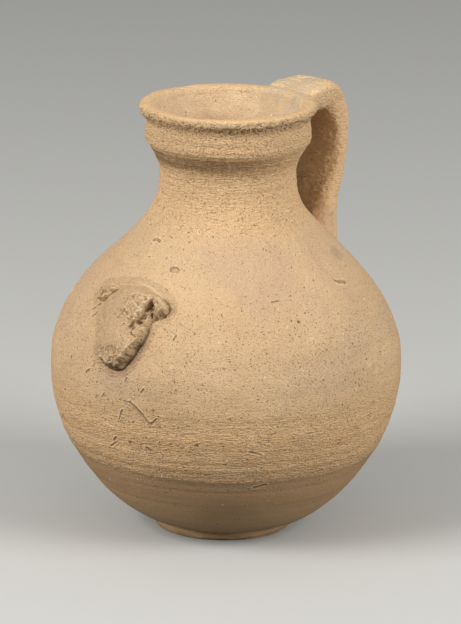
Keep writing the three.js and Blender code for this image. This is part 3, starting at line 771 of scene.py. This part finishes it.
def patch_painted_light(painted_light_and_scrapes):
    """Painted light on the head, from its hollows and from listed lines and spots: shade in hollows and under
    the horn, soft shadows below the nose, highlight on ridges, and pale scrapes.
    """
    # Less painted shade on the head's left side and top.
    less_shade_left = smooth(-4.0, -9.0, gx) * smooth(14.0, 11.0, gy)
    less_shade_left_and_top = most(less_shade_left, smooth(18.5, 22.0, gy) * smooth(17.0, 13.0, gx))
    painted = np.where(painted_light_and_scrapes > 0, painted_light_and_scrapes * (1 - 0.85 * less_shade_left_and_top), painted_light_and_scrapes)
    # Pale lines: the scraped mark over the brow, and painted highlight along the muzzle's edges.
    for line, strength in zip(SCRAPED, (1.2, 0.7, 0.5)):
        painted = painted - strength * bell(to_line(gx, gy, line), 0.6)
    # Painted shade in the hollow beside the brow.
    painted = painted + 0.45 * smooth(-0.3, 0.6, to_polygon(gx, gy, HOLLOW))
    grainy = lattice(gx / 0.9, gy / 0.9, 41)
    nose = smooth(-5.0, -8.0, gy)
    brow = brow_zone(gx, gy)
    # Painted shade down the muzzle's right side and front and under the horn. The brow's crumbs get painted
    # shade and highlight, the crevice painted shade and the brow ridge painted highlight.
    painted = painted + muzzle_band(gx, gy) * (0.42 + 0.25 * nose + 0.8 * nose * grainy)
    painted = painted + under_horn(gx, gy) * (0.5 + 0.4 * grainy)
    painted = painted * (1 - 0.25 * brow) + brow * (0.6 * grainy - 0.2)
    painted = painted + (0.6 + 0.3 * grainy) * bell(to_line(gx - 1.1, gy, CREVICE), 1.3)
    painted = painted - (0.5 + 0.4 * grainy) * bell(to_line(gx, gy, BROW_RIDGE), 0.8)
    # Painted soft shadows below the nose, right of the horn and at the eye.
    painted_soft_shadow = 0.4 * bump(gx, gy, 1.5, -19.3, 7.0, 1.8) + 0.35 * bump(gx, gy, 21.0, 11.5, 2.0, 3.5)
    painted_soft_shadow = painted_soft_shadow + 0.35 * bump(gx, gy, 5.0, 1.5, 3.0, 2.5)
    return np.clip(painted + painted_soft_shadow * smooth(0.2, 1.8, inside), -1.0, 1.0)


inside = head_reach(gx, gy)
raised = head_height(gx, gy) + mix(-0.06, 0.02, smooth(0.0, 1.6, inside))
patch = wall_point(gx, gy, raised)
patch_back = wall_point(gx, gy, PATCH_BACK)
patch_normals = np.cross(np.gradient(patch, axis=1), np.gradient(patch, axis=0))
patch_normals /= np.linalg.norm(patch_normals, axis=2)[:, :, None]
patch_shelter = patch_painted_light(shelter(patch, patch_normals, (2, 2), (5, 5), 1.0, False))

# The cells of each piece, by their centres
cx, cy = 0.5 * (gx[:-1, :-1] + gx[1:, 1:]), 0.5 * (gy[:-1, :-1] + gy[1:, 1:])
in_patch = head_reach(cx, cy) > 0
horn_cells = in_patch & (to_polygon(cx, cy, HORN) > -0.3) & (cx > 9.5)
ear_cells = in_patch & ~horn_cells & (np.hypot((cx - 11.5) / 3.2, (cy - 2.5) / 3.2) < 1.0)
stub_cells = in_patch & (to_polygon(cx, cy, STUB) > 0)
head_cells = in_patch & ~horn_cells & ~ear_cells & ~stub_cells


def patch_piece(name, cells):
    """One closed piece over the chosen cells: the modelled face, its back and the sides between."""
    width, count = gx.shape[1], gx.size
    iy, ix = np.nonzero(cells)
    first = iy * width + ix
    quads = np.stack([first, first + 1, first + 1 + width, first + width], 1)
    edges = {}
    for quad in quads.tolist():
        for a, b in zip(quad, quad[1:] + quad[:1]):
            if (b, a) in edges:
                del edges[b, a]
            else:
                edges[a, b] = True
    sides = [[b, a, a + count, b + count] for a, b in edges]
    faces = np.concatenate([quads, (quads + count)[:, ::-1], sides])
    hidden = np.arange(len(faces)) >= len(quads)
    used, faces = np.unique(faces, return_inverse=True)
    points = np.concatenate([patch.reshape(-1, 3), patch_back.reshape(-1, 3)])[used]
    normals = np.concatenate([patch_normals.reshape(-1, 3)] * 2)[used]
    painted_light_and_scrapes = np.concatenate([patch_shelter.ravel()] * 2)[used]
    return make_mesh(name, points, faces.reshape(-1, 4).tolist(), normals, hidden, painted_light_and_scrapes)


head = patch_piece("animal_head_clay", head_cells)
right_horn = patch_piece("right_horn_clay", horn_cells)
left_horn = patch_piece("left_horn_clay", stub_cells)
right_ear = patch_piece("right_ear_clay", ear_cells)


# Materials
class Value:
    """A socket of a node tree. Arithmetic on it adds Math nodes."""

    def __init__(self, tree, socket):
        self.tree = tree
        self.socket = socket

    def __add__(self, other):
        return self.tree.math("ADD", self, other)

    def __sub__(self, other):
        return self.tree.math("SUBTRACT", self, other)

    def __rsub__(self, other):
        return self.tree.math("SUBTRACT", other, self)

    def __mul__(self, other):
        return self.tree.math("MULTIPLY", self, other)

    def __truediv__(self, other):
        return self.tree.math("DIVIDE", self, other)


class Tree:
    """Short names for the shader nodes of one node tree."""

    def __init__(self, tree):
        self.tree = tree

    def put(self, socket, value):
        if isinstance(value, Value):
            self.tree.links.new(value.socket, socket)
        elif value is not None:
            socket.default_value = value

    def node(self, kind, inputs, out=0, **settings):
        """One output of a new node, whose inputs are linked or set."""
        made = self.tree.nodes.new(kind)
        for name, setting in settings.items():
            setattr(made, name, setting)
        for name, value in inputs.items():
            self.put(made.inputs[name], value)
        return Value(self, made.outputs[out])

    def math(self, operation, a, b):
        return self.node("ShaderNodeMath", {0: a, 1: b}, operation=operation)

    def most(self, *values):
        return reduce(partial(self.math, "MAXIMUM"), values)

    def least(self, *values):
        return reduce(partial(self.math, "MINIMUM"), values)

    def vector(self, operation, a, b, out="Vector"):
        return self.node("ShaderNodeVectorMath", {0: a, 1: b}, out, operation=operation)

    def scaled(self, vector, factor):
        return self.node("ShaderNodeVectorMath", {0: vector, "Scale": factor}, operation="SCALE")

    def place(self):
        """The point on the piece, in mm."""
        return self.scaled(self.node("ShaderNodeTexCoord", {}, "Object"), 1000.0)

    def stretched(self, vector, wide, tall, shift):
        inputs = {"Vector": vector, "Scale": (wide, wide, tall), "Location": shift}
        return self.node("ShaderNodeMapping", inputs)

    def noise(self, vector, scale=1.0, detail=2.0, rough=0.5):
        inputs = {"Vector": vector, "Scale": scale, "Detail": detail, "Roughness": rough}
        return self.node("ShaderNodeTexNoise", inputs, "Fac")

    def span(self, value, low, high, a=0.0, b=1.0, soft=True):
        inputs = {"Value": value, "From Min": low, "From Max": high, "To Min": a, "To Max": b}
        kind = "SMOOTHSTEP" if soft else "LINEAR"
        return self.node("ShaderNodeMapRange", inputs, interpolation_type=kind)

    def blend(self, factor, a, b, kind="MIX"):
        return self.node("ShaderNodeMix", {0: factor, 6: a, 7: b}, 2, data_type="RGBA", blend_type=kind)


def srgb(r, g, b):
    def linear(v):
        v /= 255.0
        return v / 12.92 if v <= 0.04045 else ((v + 0.055) / 1.055) ** 2.4

    return (linear(r), linear(g), linear(b), 1.0)


def on_wall(azimuth, height):
    """A point of the outer wall, in mm."""
    radius = np.interp(height, wall[:, 1], wall[:, 0])
    a = math.radians(azimuth)
    return (radius * math.cos(a), radius * math.sin(a), height)


# Scratches seen on the wall: azimuth and height of both ends, half width and strength
SCRATCHES = [
    (-79.3, 85.0, -76.8, 84.7, 0.20, 0.5), (-76.8, 84.7, -74.6, 82.4, 0.30, 1.0),
    (-74.6, 82.4, -72.8, 79.7, 0.32, 1.0), (-72.8, 79.7, -71.5, 77.4, 0.34, 1.0),
    (-71.5, 77.4, -70.4, 75.5, 0.34, 1.0), (-70.4, 75.5, -69.4, 74.9, 0.34, 1.0),
    (-69.4, 74.9, -68.3, 76.2, 0.34, 1.0), (-68.3, 76.2, -67.4, 78.0, 0.26, 0.9),
    (-79.9, 79.6, -80.7, 76.8, 0.30, 0.9), (-80.7, 76.8, -81.5, 74.2, 0.26, 0.7),
    (-96.4, 93.9, -95.1, 95.3, 0.36, 1.0), (-78.9, 95.0, -78.4, 96.4, 0.26, 0.8),
    (-72.7, 90.6, -72.0, 92.0, 0.30, 0.9), (-88.1, 84.2, -87.2, 86.4, 0.26, 0.7),
    (-91.2, 83.0, -90.2, 84.6, 0.22, 0.6), (-87.0, 58.2, -84.0, 61.2, 0.30, 0.8),
    (-84.8, 62.2, -83.7, 63.9, 0.34, 0.9), (-34.2, 41.0, -30.0, 42.8, 0.34, 1.0),
    (-37.2, 63.0, -33.2, 61.0, 0.34, 0.9), (12.6, 136.3, 17.0, 134.9, 0.45, 1.0),
    (-96.6, 154.6, -94.2, 155.4, 0.36, 1.0), (-94.2, 155.4, -91.6, 154.9, 0.32, 1.0),
    (-26.0, 133.2, -22.8, 133.4, 0.24, 0.7), (-71.8, 61.4, -70.4, 60.1, 0.40, 0.9),
    (-52.0, 49.6, -42.0, 49.3, 0.24, 0.7), (-115.5, 64.0, -117.5, 61.6, 0.5, 0.8),
    (-101.2, 125.4, -104.3, 121.9, 0.24, 0.8), (-100.1, 121.8, -102.3, 119.4, 0.24, 0.8),
    (-63.0, 118.6, -63.6, 116.8, 0.28, 0.8),
]
# Single dark pits: azimuth, height, radius
DENTS = [
    (-17.0, 124.0, 0.85), (-13.0, 127.3, 0.6), (-19.8, 124.8, 0.45), (-76.0, 74.5, 0.55), (3.3, 64.0, 0.6),
    (-5.0, 50.2, 0.6), (-63.4, 175.0, 0.6), (-78.0, 63.0, 0.7), (-1.0, 139.3, 0.5), (-8.2, 137.3, 0.4),
    (-38.0, 66.8, 0.7), (-54.0, 66.0, 0.8), (-3.3, 94.3, 0.45), (9.2, 72.2, 0.5), (-16.6, 135.0, 0.4),
]
# Ragged patches: azimuth, height, half length and half height in mm
CRUMBLY = [(-53.5, 61.0, 5.0, 5.5), (-78.0, 63.0, 2.0, 2.0), (-57.0, 50.5, 6.0, 2.0), (-40.0, 57.0, 9.0, 3.0)]
PALED = [(-53.0, 60.0, 4.5, 6.0), (13.0, 93.0, 3.0, 3.0), (9.0, 98.0, 2.5, 2.5), (-47.0, 50.0, 6.0, 1.2)]
SMUDGE = (31.0, 144.5, 6.0, 4.5)
SCAR = (-72.3, 145.2, 2.9, 1.4)
SCAR_MIDDLE = (-72.0, 144.9, 2.1, 0.9)


def clay_group():
    """The fired clay shared by every piece: its colour, its roughness and the height of its pits,
    grit and wheel lines, in mm. Wear raises the crumbling, Grey the worn, greyish tone and Smooth
    calms the grain. Painted Light And Scrapes is painted shade above 0, and painted highlight with pale
    scraped marks below it."""
    group = bpy.data.node_groups.new("fired_clay", "ShaderNodeTree")
    inputs = ("Wear", "Grey", "Smooth", "Painted Light And Scrapes")
    for name in inputs:
        group.interface.new_socket(name, in_out="INPUT", socket_type="NodeSocketFloat")
    for name, kind in (("Color", "Color"), ("Height", "Float"), ("Roughness", "Float")):
        group.interface.new_socket(name, in_out="OUTPUT", socket_type="NodeSocket" + kind)
    t = Tree(group)
    given = group.nodes.new("NodeGroupInput")
    wear, grey, sleek, painted_light_and_scrapes = (Value(t, given.outputs[name]) for name in inputs)
    place = t.place()
    z = t.node("ShaderNodeSeparateXYZ", {0: place}, 2)
    level = (t.noise(place, 0.03, 2) - 0.5) * 5.0 + z
    radial = t.vector("LENGTH", t.vector("MULTIPLY", place, (1, 1, 0)), None, "Value")

    # Zones up the jug: trimmed bowl, dragged lower body, gritty front, ribbed neck and collar
    turned = t.span(level, TRIM_HEIGHT - 1.2, TRIM_HEIGHT + 1.2, 1.0, 0.0)
    dragged = (1.0 - turned) * t.span(level, 70, 92, 1.0, 0.0)
    within = t.span(radial, LIP_RADIUS - 5.5, LIP_RADIUS - 7.5) * t.span(z, 198, 200)
    necked = t.span(level, 152, 172) * (1.0 - within)
    lipped = t.span(z, 210, 212) * t.span(z, 219, 217.5) * (1.0 - within)
    rim_top = t.span(z, 217.0, 218.6) * 0.8
    rough_zone = t.most(dragged, necked)
    settled = turned * t.span(level, TRIM_HEIGHT - 12.0, TRIM_HEIGHT - 1.0, 1.0, 0.4)
    calm = t.most(settled, sleek, within * 0.55, rim_top)
    lively = 1.0 - calm * 0.65
    shoulder = t.span(level, 116, 134) * (1.0 - necked)
    pinker = t.span(level, 78, 98) * t.span(level, 150, 168, 1.0, 0.0)

    # Noises from broad to fine
    broad = t.noise(place, 0.022, 3, 0.55)
    mottle = t.noise(place, 0.11, 4, 0.6)
    speck = t.noise(place, 0.95, 2, 0.7)
    grain = t.noise(place, 1.9, 0)
    lined = t.noise(t.stretched(place, 0.05, 0.8, (0, 0, 0)), 1.0, 3, 0.6)
    fine_lined = t.noise(t.stretched(place, 0.35, 1.7, (7, 3, 1)), 1.0, 0)
    patchy = t.span(t.noise(place, 0.16, 2), 0.35, 0.62)

    def pits(wide, tall, shift, low, high, fewer=None):
        """Ragged marks scattered at random: 1 inside and 0 outside."""
        value = t.noise(t.stretched(place, wide, tall, shift), 1.0, 1, 0.6)
        if fewer is not None:
            value = value - fewer
        return t.span(value, low, high)

    plainer_neck = necked * t.span(level, 196, 200, 0.6, 0.0)
    sparse = t.most(shoulder, calm, plainer_neck) * 0.035 - lipped * 0.03
    clustered = patchy * -0.05 + 0.05
    small = pits(1.15, 1.45, (0, 0, 0), 0.665, 0.70, sparse)
    extra = pits(0.75, 1.05, (17, 8, 29), 0.70, 0.73, clustered + sparse)
    large = pits(0.5, 0.6, (31, 5, 9), 0.745, 0.765)
    grit = pits(1.15, 1.5, (3, 44, 17), 0.64, 0.68, sparse)
    white = pits(0.55, 0.6, (63, 14, 27), 0.76, 0.79)
    torn = pits(0.9, 1.6, (13, 24, 7), 0.655, 0.69) * rough_zone
    drawn = pits(0.07, 1.5, (23, 54, 3), 0.63, 0.665)
    lifted = t.most(pits(0.95, 1.6, (53, 4, 37), 0.61, 0.65), drawn * 0.7) * rough_zone

    # Marks that the photograph shows at fixed places
    def patch(azimuth, height, long, high, edge):
        """1 in the middle of a ragged patch and 0 outside it."""
        offset = t.vector("SUBTRACT", place, on_wall(azimuth, height))
        offset = t.vector("MULTIPLY", offset, (1 / long, 1 / long, 1 / high))
        reach = t.vector("LENGTH", offset, None, "Value") + (edge - 0.5) * 1.6
        return t.span(reach, 0.55, 1.1, 1.0, 0.0)

    gaps = []
    for a0, z0, a1, z1, width, strength in SCRATCHES:
        first, second = Vector(on_wall(a0, z0)), Vector(on_wall(a1, z1))
        along = second - first
        offset = t.vector("SUBTRACT", place, tuple(first))
        run = t.vector("DOT_PRODUCT", offset, tuple(along / along.length_squared), "Value")
        nearest = t.scaled(tuple(along), t.least(t.most(run, 0.0), 1.0))
        gap = t.vector("LENGTH", t.vector("SUBTRACT", offset, nearest), None, "Value")
        gaps.append(gap / (1.5 * width * strength))
    nearest_gap = t.least(*gaps) + (speck - 0.5) * 1.2
    scratch = t.span(nearest_gap, 0.3, 1.7, 1.0, 0.0)
    burr = t.span(nearest_gap, 1.3, 2.2) * t.span(nearest_gap, 2.6, 4.0, 1.0, 0.0)
    dents = []
    for azimuth, height, radius in DENTS:
        gap = t.vector("DISTANCE", place, on_wall(azimuth, height), "Value") + (speck - 0.5) * 0.8
        dents.append(t.span(gap, radius * 0.5, radius * 1.3, 1.0, 0.0))
    dent = t.most(*dents)
    scar, scar_middle = patch(*SCAR, speck), patch(*SCAR_MIDDLE, speck)
    crumbly = t.most(*(patch(*at, mottle) for at in CRUMBLY))
    paled = t.most(*(patch(*at, mottle) for at in PALED))
    smudge = patch(*SMUDGE, mottle)

    # Colour, in layers over a broad buff ground
    rosy = t.noise(t.node("ShaderNodeMapping", {"Vector": place, "Location": (90, 20, 5)}), 0.018, 2)
    rosy = t.span(rosy, 0.42, 0.62, 0.25, 1.0)
    low_band = dragged * t.span(level, 78, 64, 0.0, 0.4) * t.span(level, TRIM_HEIGHT, TRIM_HEIGHT + 7.0)
    near_trim = dragged * t.span(level, TRIM_HEIGHT + 1.0, TRIM_HEIGHT + 10.0, 0.55, 0.0)
    marked = t.most(rough_zone, turned * 0.8)
    inner_tone = t.blend(t.span(mottle, 0.3, 0.7), srgb(219, 190, 154), srgb(236, 209, 172))
    tone = t.blend(t.span(broad, 0.36, 0.64), srgb(211, 176, 134), srgb(219, 186, 145))
    for share, colour in (
        (t.span(mottle, 0.3, 0.72, 0.0, 0.45), srgb(224, 192, 148)),
        (pinker * (rosy * 0.65), srgb(203, 171, 141)),
        (turned * 0.8, srgb(189, 151, 112)),
        (t.span(level, 34, 12, 0.0, 0.75), srgb(234, 196, 151)),
        (dragged * 0.7, srgb(231, 187, 136)),
        (low_band, srgb(246, 200, 148)),
        (near_trim, srgb(189, 151, 112)),
        (t.span(lined, 0.50, 0.72) * (marked * 0.13 + 0.05), srgb(190, 150, 106)),
        (necked * 0.7, srgb(234, 193, 145)),
        (within * 0.7, inner_tone),
        (grey * 0.8, srgb(204, 184, 156)),
        (smudge * 0.45, srgb(166, 146, 126)),
        (paled * 0.45, srgb(236, 199, 153)),
    ):
        tone = t.blend(share, tone, colour)
    dusty = t.span(speck * 0.4 + grain * 0.6, 0.3, 0.7, 0.86, 1.13, False)
    dusty = (dusty - 1.0) * lively + 1.0
    tone = t.blend(1.0, tone, t.node("ShaderNodeCombineColor", {0: dusty, 1: dusty, 2: dusty}), "MULTIPLY")
    dark = t.most(small * 0.9, extra * 0.75, torn * 0.45) * lively
    dark = t.most(dark, large * 0.8, scratch * 0.4, dent * 0.85, (scar - scar_middle * 0.8) * 0.7)
    for share, colour in (
        (t.most(grit * (lively * 0.7), lifted * 0.9, burr * 0.4), srgb(248, 214, 170)),
        (white, srgb(246, 232, 205)),
        (dark, srgb(112, 76, 48)),
        (t.span(z, 4.5, 0.5) * t.span(mottle, 0.25, 0.6, 0.45, 0.75), srgb(104, 78, 54)),
        # Painted shade above 0, and painted highlight with pale scraped marks below it.
        (t.span(painted_light_and_scrapes, 0.1, 1.0, 0.0, 0.72), srgb(101, 75, 50)),
        (t.span(painted_light_and_scrapes, -0.08, -0.9, 0.0, 0.6), srgb(246, 220, 180)),
    ):
        tone = t.blend(share, tone, colour)

    # Height in mm
    height = (lined - 0.5) * (rough_zone * 0.34 + 0.12) + (fine_lined - 0.5) * (rough_zone * 0.4 + 0.06)
    coarse = wear + 0.32 + crumbly * 0.9 + lipped * 0.8
    height = height + (speck - 0.5) * (coarse * lively) + (grain - 0.5) * (lively * 0.26)
    hollows = t.most(small * 0.26, extra * 0.32, torn * 0.3) * lively
    height = height - t.most(hollows, large * 0.35, scratch * 0.8, dent * 0.5, scar * 0.4)
    height = height + t.most(grit * 0.18, lifted * 0.28) * lively + burr * 0.2

    made = group.nodes.new("NodeGroupOutput")
    t.put(made.inputs["Color"], tone)
    t.put(made.inputs["Height"], height)
    t.put(made.inputs["Roughness"], t.span(mottle, 0.2, 0.8, 0.8, 0.95, False))
    return group


CLAY = clay_group()


def clay(name, wear=0.0, sleek=0.0, worn=None):
    """One clay. Worn is the place that is worn grey, in mm, and its inner and outer radius."""
    material = bpy.data.materials.new(name)
    material.use_nodes = True
    nodes = material.node_tree.nodes
    t = Tree(material.node_tree)
    body = nodes.new("ShaderNodeGroup")
    body.node_tree = CLAY
    t.put(body.inputs["Wear"], wear)
    t.put(body.inputs["Smooth"], sleek)
    t.put(body.inputs["Painted Light And Scrapes"], t.node("ShaderNodeAttribute", {}, "Fac", attribute_name="painted_light_and_scrapes"))
    if worn:
        point, inner_radius, outer_radius = worn
        place = t.place()
        gap = t.vector("DISTANCE", place, point, "Value")
        near = t.span(gap, inner_radius, outer_radius, 1.0, 0.0)
        t.put(body.inputs["Grey"], near * t.span(t.noise(place, 0.12, 3), 0.3, 0.6))
    height = Value(t, body.outputs["Height"])
    shader = nodes["Principled BSDF"]
    t.put(shader.inputs["Base Color"], Value(t, body.outputs["Color"]))
    t.put(shader.inputs["Roughness"], Value(t, body.outputs["Roughness"]))
    t.put(shader.inputs["Specular IOR Level"], 0.22)
    bumped = t.node("ShaderNodeBump", {"Strength": 1.0, "Distance": MM, "Height": height}, "Normal")
    t.put(shader.inputs["Normal"], bumped)
    return material


body_clay = clay("buff_earthenware")
turned_clay = clay("turned_earthenware")
rim_clay = clay("rim_earthenware", wear=0.55, worn=((6, 44, 219), 8, 26))
handle_clay = clay("handle_earthenware", sleek=0.7, worn=((-8, 50, 222), 10, 34))
head_clay = clay("head_earthenware", wear=1.0)

for piece, node, slot, material in (
    (foot, "foot", "turned_clay", turned_clay),
    (body_lower, "body_lower", "turned_clay", turned_clay),
    (body_upper, "body_upper", "body_clay", body_clay),
    (neck, "neck", "body_clay", body_clay),
    (collar, "mouth_collar", "rim_clay", rim_clay),
    (handle, "handle", "handle_clay", handle_clay),
    (head, "animal_head", "head_clay", head_clay),
    (right_horn, "right_horn", "head_clay", head_clay),
    (left_horn, "left_horn", "head_clay", head_clay),
    (right_ear, "right_ear", "head_clay", head_clay),
):
    piece.data.materials.append(material)
    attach(piece, "root")
    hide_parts(node)

# Floor and light, in metres
FLOOR_SHOWN = srgb(206, 207, 205)
FLOOR_BOUNCE = srgb(88, 90, 90)
FLOOR_HALF = 6
DIM_COLOUR = (1.0, 0.985, 0.96, 1.0)
DIM_STRENGTH = 0.29
LAMP_COLOUR = (1.0, 0.98, 0.95)
LAMP_SIZE = 1.0
LAMP_DISTANCE = 1.9
LAMP_AIM = Vector((0, 0, 0.12))


def looked_at(t):
    """1 where a background is seen by the camera, in a reflection or through glass."""
    path = t.tree.nodes.new("ShaderNodeLightPath")
    rays = ("Is Camera Ray", "Is Glossy Ray", "Is Transmission Ray")
    return t.most(*(Value(t, path.outputs[ray]) for ray in rays))


floor_mesh = bpy.data.meshes.new("studio_floor")
corners = [(x * FLOOR_HALF, y * FLOOR_HALF, 0) for x, y in ((-1, -1), (1, -1), (1, 1), (-1, 1))]
floor_mesh.from_pydata(corners, [], [(0, 1, 2, 3)])
floor = bpy.data.objects.new("studio_floor", floor_mesh)
bpy.context.scene.collection.objects.link(floor)
floor_material = bpy.data.materials.new("pale_floor")
floor_material.use_nodes = True
t = Tree(floor_material.node_tree)
shader = floor_material.node_tree.nodes["Principled BSDF"]
t.put(shader.inputs["Base Color"], t.blend(looked_at(t), FLOOR_BOUNCE, FLOOR_SHOWN))
t.put(shader.inputs["Roughness"], 0.9)
t.put(shader.inputs["Specular IOR Level"], 0.0)
floor.data.materials.append(floor_material)

world = bpy.data.worlds.new("studio")
bpy.context.scene.world = world
world.use_nodes = True
world.node_tree.nodes.clear()
t = Tree(world.node_tree)
dim = t.node("ShaderNodeBackground", {"Color": DIM_COLOUR, "Strength": DIM_STRENGTH})
shown = t.node("ShaderNodeBackground", {"Color": FLOOR_SHOWN, "Strength": 1.0})
either = t.node("ShaderNodeMixShader", {0: looked_at(t), 1: dim, 2: shown})
t.put(world.node_tree.nodes.new("ShaderNodeOutputWorld").inputs["Surface"], either)


def softbox(name, azimuth, elevation, power):
    data = bpy.data.lights.new(name, "AREA")
    data.shape = "SQUARE"
    data.size = LAMP_SIZE
    data.energy = power
    data.color = LAMP_COLOUR
    turn, lift = math.radians(azimuth), math.radians(elevation)
    away = Vector((math.cos(lift) * math.cos(turn), math.cos(lift) * math.sin(turn), math.sin(lift)))
    lamp = bpy.data.objects.new(name, data)
    lamp.location = LAMP_AIM + away * LAMP_DISTANCE
    lamp.rotation_euler = (LAMP_AIM - lamp.location).to_track_quat("-Z", "Y").to_euler()
    bpy.context.scene.collection.objects.link(lamp)


# Azimuths run from +X towards +Y. The camera is at -45, with one softbox on its left and one on its right.
softbox("left_softbox", -102, 31, 30.5)
softbox("right_softbox", 13, 27, 26.2)

# Camera
DISTANCE = 2.2
PITCH = math.radians(15.5)
TURN = math.radians(45)
ROLL = 0.0092
AIM = Vector((0, 0, 0.110))
IMAGE_HEIGHT_PX = 624.0
FOCAL_PX = 4356.0
SHIFT_RIGHT_PX = 4.17
SHIFT_UP_PX = 0.39
SENSOR = 24.0
camera_data = bpy.data.cameras.new("photo_camera")
camera_data.sensor_fit = "VERTICAL"
camera_data.sensor_height = SENSOR
camera_data.lens = SENSOR * FOCAL_PX / IMAGE_HEIGHT_PX
camera_data.shift_x = SHIFT_RIGHT_PX / IMAGE_HEIGHT_PX
camera_data.shift_y = SHIFT_UP_PX / IMAGE_HEIGHT_PX
camera_data.clip_end = 50.0
camera = bpy.data.objects.new("photo_camera", camera_data)
facing = Vector((-math.sin(TURN), math.cos(TURN), 0))
forward = facing * math.cos(PITCH) - Vector((0, 0, math.sin(PITCH)))
right = facing.cross(Vector((0, 0, 1))).normalized()
up = right.cross(forward).normalized()
rolled_right = right * math.cos(ROLL) + up * math.sin(ROLL)
rolled_up = up * math.cos(ROLL) - right * math.sin(ROLL)
turned_to = Matrix((rolled_right, rolled_up, -forward)).transposed().to_4x4()
camera.matrix_world = Matrix.Translation(AIM - forward * DISTANCE) @ turned_to
bpy.context.scene.collection.objects.link(camera)
bpy.context.scene.camera = camera
bpy.context.scene.view_settings.view_transform = "Standard"
